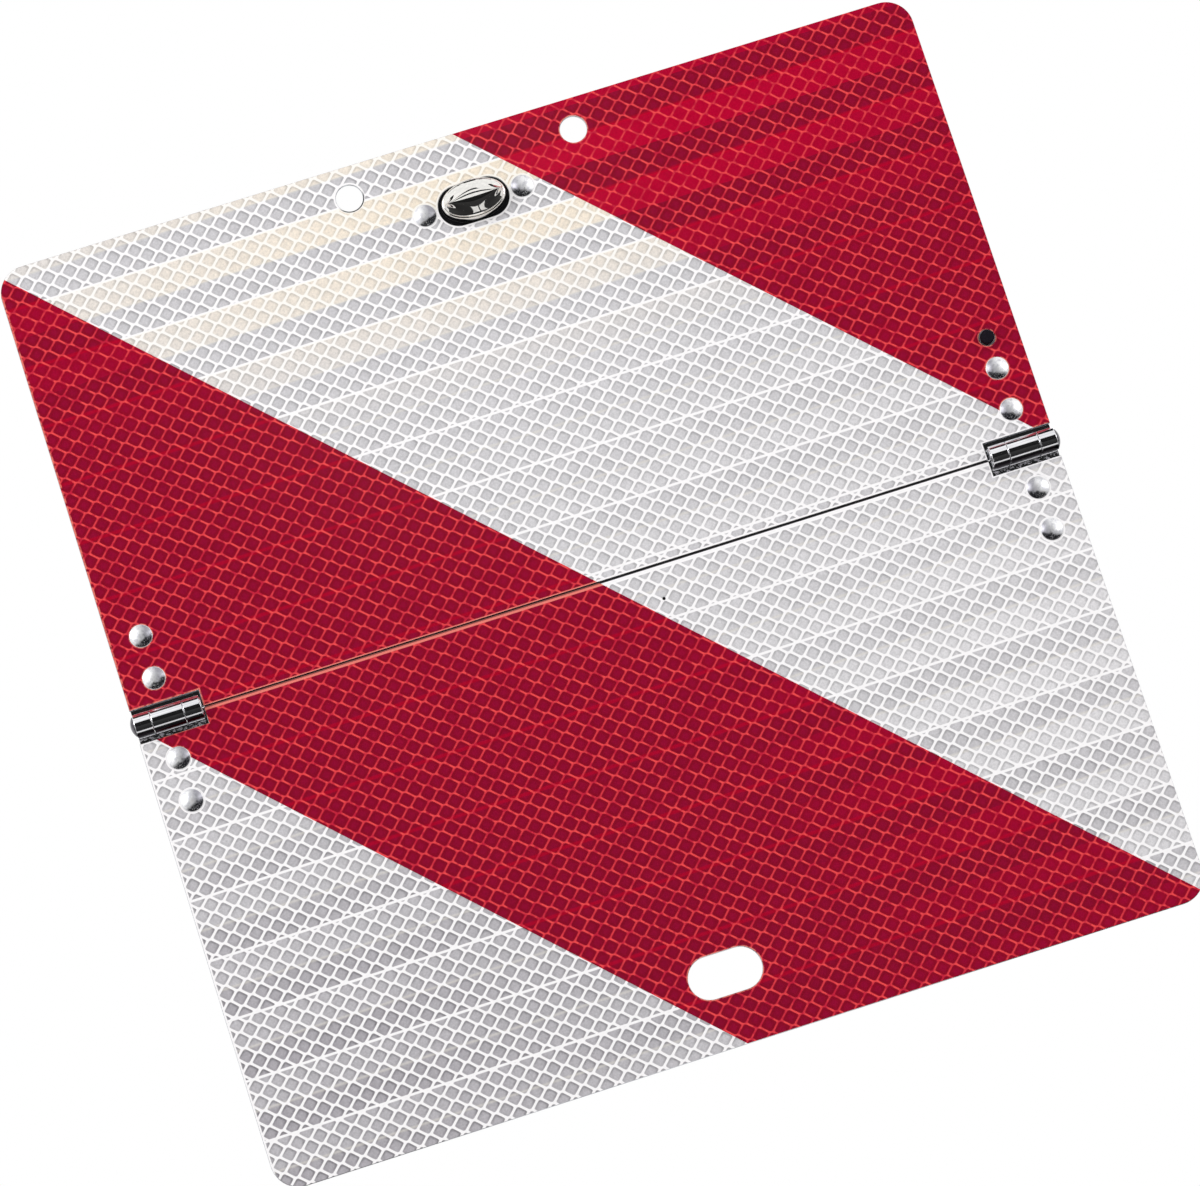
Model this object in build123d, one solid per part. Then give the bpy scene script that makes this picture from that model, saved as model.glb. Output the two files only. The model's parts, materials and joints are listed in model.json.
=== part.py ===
from build123d import *
from math import sqrt
import os

# A square warning sign in two halves, which fold face to face on two hinges and lock with a turn button.
# It is drawn lying on a sheet, in millimetres: X to the viewer's right, Y up the sign, Z towards the viewer.
# Zero is the middle of the fold line, on the back of the panels. The last lines stand the sign upright.

# Panels
panel_size = 423.0  # side of the open sign
panel_thickness = 1.5
corner_radius = 12.5
panel_edge_chamfer = 0.2
fold_gap = 0.3  # between the edges of the two halves

# Sheeting, and the red film laid over it
sheeting_thickness = 0.4
red_film_thickness = 0.15
film_inset = 0.2  # bare metal left along edges and openings
stripe_count = 4  # stripes across the diagonal, red and white in turn
corner_stripe = 1.5  # middle of a red stripe, in stripe widths from the sign's middle to its upper right
long_stripe = -0.5

# Holes that the sign hangs by
hanging_hole_diameter = 12.0
hanging_hole_spacing = 104.0
hanging_hole_from_top = 14.2

# Dome rivets
rivet_diameter = 5.0
rivet_head_diameter = 10.2
rivet_head_height = 1.7
rivet_rim_height = 0.3
rivet_tail_diameter = 7.6
rivet_tail_height = 1.6
rivet_clearance = 0.05  # round the shank
head_trim_clearance = 0.05  # between a rivet's head and the red film cut round it

# Hinges
leaf_thickness = 1.5
leaf_width = 30.0
leaf_side_inset = 0.4  # from the panel's side edge
leaf_wing = 3.0  # past the barrel's inner end, behind the panel's notch
leaf_end_margin = 8.2  # past the last rivet
leaf_corner_radius = 4.0
leaf_edge_chamfer = 0.2
pin_diameter = 7.5
pin_running_clearance = 0.03
pin_head_overlap = 0.7  # past the pin, all round
pin_head_height = 1.9
pin_collar_overlap = 0.6
pin_collar_thickness = 0.4
pin_collar_clearance = 0.3  # to the leaves' wings
middle_knuckle_length = 14.4
knuckle_gap = 0.15
knuckle_chamfer = 0.25
knuckle_relief = 0.5  # between a barrel and the flat of the other leaf
seam_width = 0.25  # open seam of the rolled edge
notch_end_gap = 1.0  # between the barrel's inner end and the panels
notch_window = 2.3  # between the barrel's sides and the panels
rivet_from_side = 14.5  # hinge rivets, from the panel's side edge
rivet_first = 18.4  # from the fold line
rivet_pitch = 19.4
rivets_per_leaf = 2
fold_clearance = 0.25  # from a rivet head to the plane where two heads would meet

# Turn latch, and the slot that passes over it
latch_from_fold = 179.5
slot_length = 33.0
slot_width = 18.8
slot_clearance = 0.65  # beside the neck, in the slot
neck_end_clearance = 2.0  # at the neck's ends, in the slot
neck_panel_clearance = 0.4  # beside the neck, in the hole of the upper panel
latch_hole_trim = 0.4  # at each end, by which that hole is shorter than the slot
neck_wall = 1.2
neck_stand = 0.2  # past the back of the folded half
neck_edge_radius = 1.0
latch_plate_thickness = 1.2
latch_plate_side_margin = 3.25  # past the neck
latch_plate_end_margin = 7.5  # past the rivets
latch_plate_chamfer = 0.2
latch_rivet_from_neck = 8.0  # from the neck's end to a rivet's middle
spindle_diameter = 6.0
spindle_running_clearance = 0.05
tenon_diameter = 4.5  # at both ends of the stem
tenon_clearance = 0.03
tenon_tail_diameter = 7.2
tenon_tail_height = 1.2
washer_side_gap = 1.55  # between the washers and the neck's wall
spring_washer_thickness = 0.6
spring_washer_rise = 0.5
spring_washer_clearance = 0.1
retaining_washer_thickness = 1.0
toggle_end_clearance = 2.8  # as the button passes through the slot
toggle_side_clearance = 1.3
toggle_gap = 0.2  # between the neck and the button
toggle_rim_height = 1.6
toggle_rim_round = 0.7
toggle_socket_depth = 2.4
rib_end_margin = 2.2  # inside the button's ends
rib_side_margin = 1.8  # inside the button's sides
rib_crest_setback = 2.5  # at each end, from the rib's foot to its crest
rib_crest_width = 1.8
rib_height = 2.2  # above the rim
rib_tip_round = 0.5

# Rubber buffer
buffer_from_fold = 52.2
buffer_diameter = 6.2
buffer_stem_diameter = 5.4
buffer_stem_clearance = 0.05
buffer_film_hole = 7.6
buffer_flange_diameter = 10.0
buffer_flange_thickness = 1.5
buffer_clearance = 0.3  # to the folded half
buffer_round = 1.5

# Sizes that follow from those
half_size = panel_size / 2
stripe_width = panel_size * sqrt(2) / stripe_count
hanging_hole_height = half_size - hanging_hole_from_top
sheeting_front = panel_thickness + sheeting_thickness
axis_depth = sheeting_front + rivet_head_height + fold_clearance
bore_radius = pin_diameter / 2 + pin_running_clearance
barrel_radius = bore_radius + leaf_thickness
barrel_start = half_size - leaf_side_inset - leaf_width
outer_knuckle_length = (leaf_width - middle_knuckle_length) / 2 - knuckle_gap
flat_start = sqrt((barrel_radius + knuckle_relief) ** 2 - axis_depth**2)  # a leaf's flat, from the fold line
pin_collar_diameter = pin_diameter + 2 * pin_collar_overlap
notch_width = leaf_side_inset + leaf_width + notch_end_gap
notch_height = barrel_radius + notch_window
leaf_length = rivet_first + (rivets_per_leaf - 1) * rivet_pitch + leaf_end_margin
rivet_line = half_size - rivet_from_side
neck_length = slot_length - 2 * neck_end_clearance
neck_width = slot_width - 2 * slot_clearance
latch_hole_length = slot_length - 2 * latch_hole_trim
latch_hole_width = neck_width + 2 * neck_panel_clearance
neck_top = 2 * axis_depth + neck_stand
hollow_length = neck_length - 2 * neck_wall
hollow_width = neck_width - 2 * neck_wall
washer_diameter = hollow_width - 2 * washer_side_gap
latch_rivet_spacing = neck_length + 2 * latch_rivet_from_neck
toggle_length = slot_length - 2 * toggle_end_clearance
toggle_width = slot_width - 2 * toggle_side_clearance
toggle_underside = neck_top + toggle_gap
rib_length = toggle_length - 2 * rib_end_margin
rib_width = toggle_width - 2 * rib_side_margin
rib_crest_length = rib_length - 2 * rib_crest_setback
washer_seat = neck_top - neck_wall
shoulder_depth = washer_seat - spring_washer_thickness - spring_washer_rise - spring_washer_clearance
buffer_top = 2 * axis_depth - sheeting_front - buffer_clearance

upper = 1
lower = -1
left = -1
right = 1

latch_rivet_places = [(x, latch_from_fold) for x in (-latch_rivet_spacing / 2, latch_rivet_spacing / 2)]


def hinge_rivet_places(side, end):
    """Rivet centres of one hinge leaf."""
    return [(end * rivet_line, side * (rivet_first + n * rivet_pitch)) for n in range(rivets_per_leaf)]


def rivet_places(side):
    """Every rivet centre on one half."""
    places = hinge_rivet_places(side, left) + hinge_rivet_places(side, right)
    if side == upper:
        places += latch_rivet_places
    return places


def slab(outline, back, front):
    """A flat piece of this outline, between two depths."""
    return extrude(Pos(0, 0, back) * outline, front - back)


def discs(places, diameter):
    """Equal round outlines at these places."""
    return Sketch() + [Pos(x, y) * Circle(diameter / 2) for x, y in places]


def dome(diameter, height):
    """A spherical cap standing on the sheet."""
    radius = diameter / 2
    sphere_radius = (radius**2 + height**2) / (2 * height)
    return split(Pos(0, 0, height - sphere_radius) * Sphere(sphere_radius), Plane.XY, keep=Keep.TOP)


def rod(diameter, back, front):
    """A round bar between two depths."""
    return slab(Circle(diameter / 2), back, front)


# Flat pieces


def half_outline(side, inset):
    """One half of the rounded square with its two hinge notches, drawn smaller all round by the inset."""
    square_size = panel_size - 2 * inset
    square = RectangleRounded(square_size, square_size, corner_radius - inset)
    fold_edge = fold_gap / 2 + inset
    outline = square & Pos(0, side * (fold_edge + half_size)) * Rectangle(panel_size, panel_size)
    for end in (left, right):
        outline -= Pos(end * half_size, 0) * Rectangle(2 * (notch_width + inset), 2 * (notch_height + inset))
    return outline


def openings(side, margin):
    """What passes through one half, wider by the margin all round."""
    if side == lower:
        return Pos(0, -latch_from_fold) * SlotOverall(slot_length + 2 * margin, slot_width + 2 * margin)
    latch_hole = SlotOverall(latch_hole_length + 2 * margin, latch_hole_width + 2 * margin)
    hanging_places = [(x, hanging_hole_height) for x in (-hanging_hole_spacing / 2, hanging_hole_spacing / 2)]
    return discs(hanging_places, hanging_hole_diameter + 2 * margin) + Pos(0, latch_from_fold) * latch_hole


def buffer_hole(side, diameter):
    """The hole for the rubber buffer, on the upper half only."""
    return discs([(rivet_line, buffer_from_fold)] if side == upper else [], diameter)


def panel(side):
    """One aluminium half, its edges and openings broken by a small chamfer."""
    plate = slab(half_outline(side, 0) - openings(side, 0), 0, panel_thickness)
    faces = plate.faces().sort_by(Axis.Z)
    plate = chamfer(faces[0].edges() + faces[-1].edges(), panel_edge_chamfer)
    small_holes = discs(rivet_places(side), rivet_diameter + 2 * rivet_clearance)
    small_holes += buffer_hole(side, buffer_stem_diameter + 2 * buffer_stem_clearance)
    return plate - slab(small_holes, 0, panel_thickness)


def film_outline(side):
    """Outline of what is stuck on one half."""
    return half_outline(side, film_inset) - openings(side, film_inset) - buffer_hole(side, buffer_film_hole)


def sheeting(side):
    """White retroreflective sheeting over one half."""
    outline = film_outline(side) - discs(rivet_places(side), rivet_diameter + 2 * rivet_clearance)
    return slab(outline, panel_thickness, sheeting_front)


def red_film(side, stripe):
    """The part of one red stripe on one half, cut round the rivet heads."""
    band = Rot(0, 0, 45) * Pos(stripe * stripe_width, 0) * Rectangle(stripe_width, 2 * panel_size)
    heads = discs(rivet_places(side), rivet_head_diameter + 2 * head_trim_clearance)
    return slab((film_outline(side) & band) - heads, sheeting_front, sheeting_front + red_film_thickness)


# Rivets


def rivet(back):
    """A dome rivet, its head on the sheeting and its tail formed at the back of what it clamps."""
    head = rod(rivet_head_diameter, 0, rivet_rim_height)
    head += Pos(0, 0, rivet_rim_height) * dome(rivet_head_diameter, rivet_head_height - rivet_rim_height)
    tail = Rot(180, 0, 0) * dome(rivet_tail_diameter, rivet_tail_height)
    return rod(rivet_diameter, back, sheeting_front) + Pos(0, 0, sheeting_front) * head + Pos(0, 0, back) * tail


def rivets(places, back):
    """A group of equal rivets."""
    return Part() + [Pos(x, y) * rivet(back) for x, y in places]


# Hinges, drawn for the upper right and mirrored


def knuckle(start, length):
    """The leaf's edge rolled round the pin, with the seam where the roll comes back to the flat."""
    flat = Pos(flat_start / 2, -leaf_thickness / 2) * Rectangle(flat_start, leaf_thickness)
    seam = Pos(barrel_radius / 2, seam_width / 2) * Rectangle(barrel_radius, seam_width)
    roll = extrude(Plane.YZ * Pos(0, axis_depth) * Circle(barrel_radius), length)
    roll = chamfer(roll.edges().filter_by(GeomType.CIRCLE), knuckle_chamfer)
    roll += extrude(Plane.YZ * flat, length)
    roll -= extrude(Plane.YZ * (Pos(0, axis_depth) * Circle(bore_radius) + seam), length)
    return Pos(start, 0, 0) * roll


def collar_room():
    """The room that the pin's collar turns in."""
    length = pin_collar_thickness + pin_collar_clearance
    circle = Circle(pin_collar_diameter / 2 + pin_collar_clearance)
    return Pos(barrel_start - length, 0, 0) * extrude(Plane.YZ * Pos(0, axis_depth) * circle, length)


def leaf(knuckle_spans):
    """A hinge leaf behind the panel, with a knuckle on each span and a wing that closes the notch's end."""
    plate_start = barrel_start - leaf_wing
    plate_width = leaf_width + leaf_wing
    plate_middle = Pos(plate_start + plate_width / 2, (flat_start + leaf_length) / 2)
    outline = plate_middle * Rectangle(plate_width, leaf_length - flat_start)
    outline = fillet(outline.vertices().sort_by(Axis.Y)[-2:], leaf_corner_radius)
    plate = slab(outline, -leaf_thickness, 0)
    back_edges = plate.faces().sort_by(Axis.Z)[0].edges().sort_by(Axis.Y)[1:]
    plate = chamfer(back_edges, leaf_edge_chamfer)
    wing_width = leaf_wing - knuckle_gap
    wing_middle = Pos(plate_start + wing_width / 2, (fold_gap / 2 + flat_start) / 2)
    plate += slab(wing_middle * Rectangle(wing_width, flat_start - fold_gap / 2), -leaf_thickness, 0)
    plate -= collar_room()
    for start, length in knuckle_spans:
        plate += knuckle(barrel_start + start, length)
    holes = discs(hinge_rivet_places(upper, right), rivet_diameter + 2 * rivet_clearance)
    return plate - slab(holes, -leaf_thickness, 0)


def upper_leaf():
    """The leaf with the two outer knuckles."""
    return leaf([(0, outer_knuckle_length), (leaf_width - outer_knuckle_length, outer_knuckle_length)])


def lower_leaf():
    """The leaf with the middle knuckle, hanging down from the fold line."""
    return mirror(leaf([(outer_knuckle_length + knuckle_gap, middle_knuckle_length)]), Plane.XZ)


def hinge_pin():
    """The pin, from its peened inner end to its domed outer end."""
    pin = rod(pin_diameter, 0, leaf_width)
    pin += rod(pin_collar_diameter, -pin_collar_thickness, 0)
    pin += Pos(0, 0, leaf_width) * dome(pin_diameter + 2 * pin_head_overlap, pin_head_height)
    return Pos(barrel_start, 0, axis_depth) * Plane.YZ.location * pin


def on_both_ends(name, piece):
    """A piece of the right hinge and its mirror image on the left one."""
    return {f"left_hinge_{name}": mirror(piece, Plane.YZ), f"right_hinge_{name}": piece}


# Turn latch, drawn about its own axis


def latch_plate():
    """The plate behind the panel, with its oval neck drawn forward through the panel."""
    plate_length = latch_rivet_spacing + 2 * latch_plate_end_margin
    plate_width = neck_width + 2 * latch_plate_side_margin
    plate = slab(SlotOverall(plate_length, plate_width), -latch_plate_thickness, 0)
    plate = chamfer(plate.faces().sort_by(Axis.Z)[0].edges(), latch_plate_chamfer)
    neck = slab(Ellipse(neck_length / 2, neck_width / 2), -latch_plate_thickness, neck_top)
    neck = fillet(neck.faces().sort_by(Axis.Z)[-1].edges(), neck_edge_radius)
    hollow = slab(Ellipse(hollow_length / 2, hollow_width / 2), -latch_plate_thickness, washer_seat)
    plate = plate + neck - hollow
    plate -= rod(spindle_diameter + 2 * spindle_running_clearance, washer_seat, neck_top)
    rivet_offsets = [(x, y - latch_from_fold) for x, y in latch_rivet_places]
    return plate - slab(discs(rivet_offsets, rivet_diameter + 2 * rivet_clearance), -latch_plate_thickness, 0)


def latch_spindle():
    """The stem, let into the button in front and peened over the retaining washer behind."""
    shoulder_back = shoulder_depth - retaining_washer_thickness
    stem = rod(spindle_diameter, shoulder_depth, toggle_underside)
    stem += rod(tenon_diameter, shoulder_back, toggle_underside + toggle_socket_depth)
    return stem + Pos(0, 0, shoulder_back) * Rot(180, 0, 0) * dome(tenon_tail_diameter, tenon_tail_height)


def retaining_washer():
    """The flat washer on the stem's shoulder."""
    washer = Circle(washer_diameter / 2) - Circle(tenon_diameter / 2 + tenon_clearance)
    return slab(washer, shoulder_depth - retaining_washer_thickness, shoulder_depth)


def spring_washer():
    """The conical washer, its outer edge against the inside of the neck."""
    inner = spindle_diameter / 2 + spindle_running_clearance
    outer = washer_diameter / 2
    inner_front = washer_seat - spring_washer_rise
    section = Polyline(
        (inner, inner_front),
        (outer, washer_seat),
        (outer, washer_seat - spring_washer_thickness),
        (inner, inner_front - spring_washer_thickness),
        close=True,
    )
    return revolve(Plane.XZ * make_face(section), Axis.Z)


def lens(length, width):
    """An outline of two equal arcs, rounded where they meet at each end."""
    arcs = [ThreePointArc((-length / 2, 0), (0, side * width / 2), (length / 2, 0)) for side in (-1, 1)]
    outline = make_face(arcs)
    return fillet(outline.vertices(), rib_tip_round)


def latch_toggle():
    """The oval button with the rib that it is turned by, and the socket for the stem."""
    rim_top = toggle_underside + toggle_rim_height
    rim = slab(Ellipse(toggle_length / 2, toggle_width / 2), toggle_underside, rim_top)
    rim = fillet(rim.faces().sort_by(Axis.Z)[-1].edges(), toggle_rim_round)
    crest = Pos(0, 0, rim_top + rib_height) * lens(rib_crest_length, rib_crest_width)
    rib = loft([Pos(0, 0, toggle_underside + toggle_rim_height / 2) * lens(rib_length, rib_width), crest])
    socket = rod(tenon_diameter + 2 * tenon_clearance, 0, toggle_socket_depth)
    return rim + rib - Pos(0, 0, toggle_underside) * socket


def rubber_buffer():
    """The black button that keeps the folded halves apart, held by a flange behind the panel."""
    button = rod(buffer_diameter, panel_thickness, buffer_top)
    button = fillet(button.faces().sort_by(Axis.Z)[-1].edges(), buffer_round)
    button += rod(buffer_stem_diameter, 0, panel_thickness)
    button += rod(buffer_flange_diameter, -buffer_flange_thickness, 0)
    return Pos(rivet_line, buffer_from_fold) * button


# The assembly

at_latch = Pos(0, latch_from_fold)

pieces = {
    "upper_panel": panel(upper),
    "lower_panel": panel(lower),
    "upper_sheeting": sheeting(upper),
    "lower_sheeting": sheeting(lower),
    "upper_corner_red_film": red_film(upper, corner_stripe),
    "upper_band_red_film": red_film(upper, long_stripe),
    "lower_band_red_film": red_film(lower, long_stripe),
    "latch_plate": at_latch * latch_plate(),
    "latch_spindle": at_latch * latch_spindle(),
    "latch_retaining_washer": at_latch * retaining_washer(),
    "latch_spring_washer": at_latch * spring_washer(),
    "latch_toggle": at_latch * latch_toggle(),
    "latch_rivets": rivets(latch_rivet_places, -latch_plate_thickness),
    "rubber_buffer": rubber_buffer(),
}
pieces |= on_both_ends("upper_leaf", upper_leaf())
pieces |= on_both_ends("lower_leaf", lower_leaf())
pieces |= on_both_ends("pin", hinge_pin())
pieces |= on_both_ends("upper_rivets", rivets(hinge_rivet_places(upper, right), -leaf_thickness))
pieces |= on_both_ends("lower_rivets", rivets(hinge_rivet_places(lower, right), -leaf_thickness))

# Upright: the front faces -Y, and zero moves up to the middle of the hanging holes
upright = Plane.XZ.location * Pos(0, -hanging_hole_height, 0)

os.makedirs("parts", exist_ok=True)
for name, piece in pieces.items():
    export_step(upright * piece, f"parts/{name}.step")
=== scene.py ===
import json
import math
from types import SimpleNamespace
import bmesh
import bpy
import numpy as np
from mathutils import Matrix, Vector

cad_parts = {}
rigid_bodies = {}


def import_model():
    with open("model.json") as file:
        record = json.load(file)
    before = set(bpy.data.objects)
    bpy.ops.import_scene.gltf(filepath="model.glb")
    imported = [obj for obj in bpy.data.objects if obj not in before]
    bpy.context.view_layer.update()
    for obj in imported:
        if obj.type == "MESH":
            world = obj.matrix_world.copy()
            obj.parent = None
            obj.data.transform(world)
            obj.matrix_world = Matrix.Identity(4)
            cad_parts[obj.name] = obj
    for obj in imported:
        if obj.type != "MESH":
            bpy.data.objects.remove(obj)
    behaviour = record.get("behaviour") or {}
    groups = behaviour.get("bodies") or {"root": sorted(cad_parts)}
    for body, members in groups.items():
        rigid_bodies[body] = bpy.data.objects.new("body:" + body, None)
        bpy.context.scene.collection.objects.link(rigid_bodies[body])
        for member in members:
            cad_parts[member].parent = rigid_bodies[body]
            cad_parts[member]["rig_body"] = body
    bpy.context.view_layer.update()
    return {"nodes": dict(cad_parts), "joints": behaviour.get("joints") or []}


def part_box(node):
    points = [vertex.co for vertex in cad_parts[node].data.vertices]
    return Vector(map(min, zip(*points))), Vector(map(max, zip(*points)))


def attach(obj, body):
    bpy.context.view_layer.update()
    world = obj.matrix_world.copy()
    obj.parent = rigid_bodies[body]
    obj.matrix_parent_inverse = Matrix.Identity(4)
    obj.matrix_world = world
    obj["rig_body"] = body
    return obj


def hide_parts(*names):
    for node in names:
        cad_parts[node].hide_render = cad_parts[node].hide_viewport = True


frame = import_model()
nodes = frame["nodes"]
mm = 0.001
joints = {joint["name"]: np.array(joint["pos_m"]) / mm for joint in frame["joints"]}
# The camera and the studio are in metres, all else in mm, and depths count forward from the panels' backs
foldDepth, foldHeight = -joints["fold"][1], joints["fold"][2]
latchHeight = joints["latch_turn"][2]
print("frame loaded:", len(nodes), "nodes")

scene = bpy.context.scene
scene.view_settings.view_transform = "Standard"


def boxOf(node):  # lowest and highest corner of a CAD node
    return [np.array(corner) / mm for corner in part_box(node)]


def tone(red, green, blue):  # a colour as it is seen on screen, 0 to 255, turned into linear light
    seen = np.array([red, green, blue]) / 255
    light = np.where(seen <= 0.04045, seen / 12.92, ((seen + 0.055) / 1.055) ** 2.4)
    return (*light.tolist(), 1.0)


def addObject(name, data):
    piece = bpy.data.objects.new(name, data)
    scene.collection.objects.link(piece)
    return piece


# Surfaces: a shell is its points and its faces, and a piece is one or more shells

def ringShell(rings, closedRows=False):
    # A skin over rows of rings: every point joins its neighbours along the ring and on the next ring.
    # Unless the rows close up, a fan from its middle closes the first and the last ring.
    rows, columns = rings.shape[:2]
    bands = rows if closedRows else rows - 1
    row, column = np.meshgrid(np.arange(bands), np.arange(columns), indexing="ij")
    here, there = row * columns, (row + 1) % rows * columns
    onward = (column + 1) % columns
    quads = np.stack([here + column, here + onward, there + onward, there + column], -1).reshape(-1, 4)
    points = rings.reshape(-1, 3)
    if closedRows:
        return points, [quads]
    points = np.vstack([points, rings[0].mean(0), rings[-1].mean(0)])
    around = np.arange(columns)
    fans = []
    for end, first in ((0, 0), (1, (rows - 1) * columns)):
        hub = np.full(columns, rows * columns + end)
        fans.append(np.column_stack([hub, first + (around + 1) % columns, first + around]))
    return points, [quads, *fans]


def softCorners(corners, closed=False, steps=5):
    # Each corner is cut back on both sides by its last number and bridged by a parabola,
    # and one point just past each end of the bridge keeps the runs between corners straight.
    corners = np.array(corners, float)
    where, cut = corners[:, :-1], corners[:, -1:]
    runs = [np.roll(where, turn, 0) - where for turn in (1, -1)]
    before, after = [run / np.linalg.norm(run, axis=1, keepdims=True) * cut for run in runs]
    step = np.linspace(0, 1, steps)[None, :, None]
    start, middle, end = (where + before)[:, None], where[:, None], (where + after)[:, None]
    bridge = (1 - step) ** 2 * start + 2 * step * (1 - step) * middle + step**2 * end
    bridge = np.concatenate([middle + 1.5 * before[:, None], bridge, middle + 1.5 * after[:, None]], 1)
    if closed:
        return bridge.reshape(-1, where.shape[1])
    return np.vstack([where[:1], bridge[1:-1].reshape(-1, where.shape[1]), where[-1:]])


def capArc(radius, height, count=16):
    # Section of a ball's cap, from just beside its top to its edge:
    # the ball's radius follows from the cap's radius and height.
    ball = (radius**2 + height**2) / (2 * height)
    angle = np.linspace(0.012, math.asin(radius / ball), count)
    return np.column_stack([ball * np.sin(angle), height - ball + ball * np.cos(angle)])


def turnedShell(profile, place, across=False, closedRows=False, around=72):
    # A profile of (radius, distance along) pairs carried round an axis, which runs forward or across
    # the sign. A profile that closes on itself makes a ring.
    angle = np.linspace(0, 2 * np.pi, around, endpoint=False)
    radius, along = np.array(profile).T[:, :, None]
    side, rise = radius * np.cos(angle), radius * np.sin(angle)
    along = along + 0 * side
    rings = np.stack([along, side, rise] if across else [side, -along, rise], -1)
    return ringShell(rings + np.array(place), closedRows)


def slabShell(low, high, depths, radii, steps=8):
    # A flat slab: the rounded rectangle from low to high is drawn in by each row's inset, at that
    # row's depth. Corners in the order right top, left top, left bottom, right bottom are arcs.
    (backDepth, backRound), (frontDepth, frontRound) = depths
    inner = 1.5  # inset of the first and the last row
    rows = softCorners([
        (inner, backDepth, 0), (0, backDepth, backRound), (0, frontDepth, frontRound), (inner, frontDepth, 0),
    ])
    inset, depth = rows.T[:, :, None]
    quarter = np.arange(4)[:, None]
    angle = (quarter * 90 + np.linspace(0, 90, steps)).ravel() * np.pi / 180
    radius = np.repeat(radii, steps)
    toRight, toTop = np.repeat([1, -1, -1, 1], steps), np.repeat([1, 1, -1, -1], steps)
    corner, bend = np.maximum(radius, inset), np.maximum(radius - inset, 0.01)
    middle, half = (np.array(low) + high) / 2, (np.array(high) - low) / 2
    x = middle[0] + toRight * (half[0] - corner) + bend * np.cos(angle)
    z = middle[1] + toTop * (half[1] - corner) + bend * np.sin(angle)
    return ringShell(np.stack([x, -depth + 0 * x, z], -1))


def meshPiece(name, *shells, smooth=True, closed=True):
    points, faces, count = [], [], 0
    for shellPoints, shellFaces in shells:
        points.append(shellPoints)
        faces += [face for group in shellFaces for face in (group + count).tolist()]
        count += len(shellPoints)
    mesh = bpy.data.meshes.new(name)
    mesh.from_pydata((np.vstack(points) * mm).tolist(), [], faces)
    if closed:
        work = bmesh.new()
        work.from_mesh(mesh)
        bmesh.ops.remove_doubles(work, verts=work.verts, dist=1e-7)
        bmesh.ops.recalc_face_normals(work, faces=work.faces)
        work.to_mesh(mesh)
        work.free()
    mesh.polygons.foreach_set("use_smooth", [smooth] * len(mesh.polygons))
    mesh.update()
    return addObject(name, mesh)


def standFor(node, slot, material, *shells):  # a piece that takes a CAD node's place and moves as it does
    piece = meshPiece("smooth_" + node, *shells)
    piece.data.materials.append(material)
    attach(piece, nodes[node]["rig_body"])
    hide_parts(node)
    return piece


# Node helpers. A number or a screen colour is set on a socket, and a field is linked to it

class Field:  # a node's output, and sums and products of fields are new maths nodes
    def __init__(self, socket):
        self.socket, self.tree = socket, socket.id_data

    def __add__(self, other):
        return maths("ADD", self, other)

    def __sub__(self, other):
        return maths("SUBTRACT", self, other)

    def __rsub__(self, other):
        return maths("SUBTRACT", other, self)

    def __mul__(self, other):
        return maths("MULTIPLY", self, other)

    def __truediv__(self, other):
        return maths("DIVIDE", self, other)

    def __neg__(self):
        return maths("MULTIPLY", self, -1.0)

    def __abs__(self):
        return maths("ABSOLUTE", self)

    __radd__, __rmul__ = __add__, __mul__


def feed(node, sources):
    for name, source in sources.items():
        socket = node.inputs[name]
        if isinstance(source, Field):
            source.tree.links.new(source.socket, socket)
        else:
            socket.default_value = tone(*source) if isinstance(source, tuple) else source


def addNode(tree, kind, sources, **options):
    node = tree.nodes.new("ShaderNode" + kind)
    for option, value in options.items():
        setattr(node, option, value)
    feed(node, sources)
    return node


def treeOf(*sources):
    return next(source.tree for source in sources if isinstance(source, Field))


def maths(operation, *values):
    node = addNode(treeOf(*values), "Math", dict(enumerate(values)), operation=operation)
    return Field(node.outputs["Value"])


def larger(first, second):
    return maths("MAXIMUM", first, second)


def lengthOf(x, z):
    return maths("SQRT", x * x + z * z)


def fade(value, start, end):  # smooth step from 0 at start to 1 at end
    sources = {"Value": value, "From Min": start, "From Max": end}
    return Field(addNode(value.tree, "MapRange", sources, interpolation_type="SMOOTHSTEP").outputs["Result"])


def spread(value, low, high):  # a 0 to 1 pattern stretched to another range
    sources = {"Value": value, "To Min": low, "To Max": high}
    return Field(addNode(value.tree, "MapRange", sources).outputs["Result"])


def blend(factor, first, second, mode="MIX"):  # colours
    tree, sources = treeOf(factor, first, second), {0: factor, 6: first, 7: second}
    return Field(addNode(tree, "Mix", sources, data_type="RGBA", blend_type=mode).outputs[2])


def millimetres(tree, centre=(0, 0, 0), stretch=(1, 1, 1)):  # object coordinates from a centre
    return Field(addNode(tree, "Mapping", {
        "Vector": Field(addNode(tree, "TexCoord", {}).outputs["Object"]),
        "Scale": [s / mm for s in stretch],
        "Location": [-c * s for c, s in zip(centre, stretch)],
    }).outputs["Vector"])


def axesOf(vector):
    return [Field(axis) for axis in addNode(vector.tree, "SeparateXYZ", {"Vector": vector}).outputs]


def noise(vector, scale, detail=2.0, roughness=0.5):
    sources = {"Vector": vector, "Scale": scale, "Detail": detail, "Roughness": roughness}
    return Field(addNode(vector.tree, "TexNoise", sources).outputs["Fac"])


def bump(shader, height, strength, depth=0.05):
    node = addNode(height.tree, "Bump", {"Strength": strength, "Distance": depth * mm, "Height": height})
    feed(shader, {"Normal": Field(node.outputs["Normal"])})


def mixShaders(tree, output, factor, first, second):
    mix = addNode(tree, "MixShader", {0: factor, 1: Field(first.outputs[0]), 2: Field(second.outputs[0])})
    feed(tree.nodes[output], {"Surface": Field(mix.outputs[0])})


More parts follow.
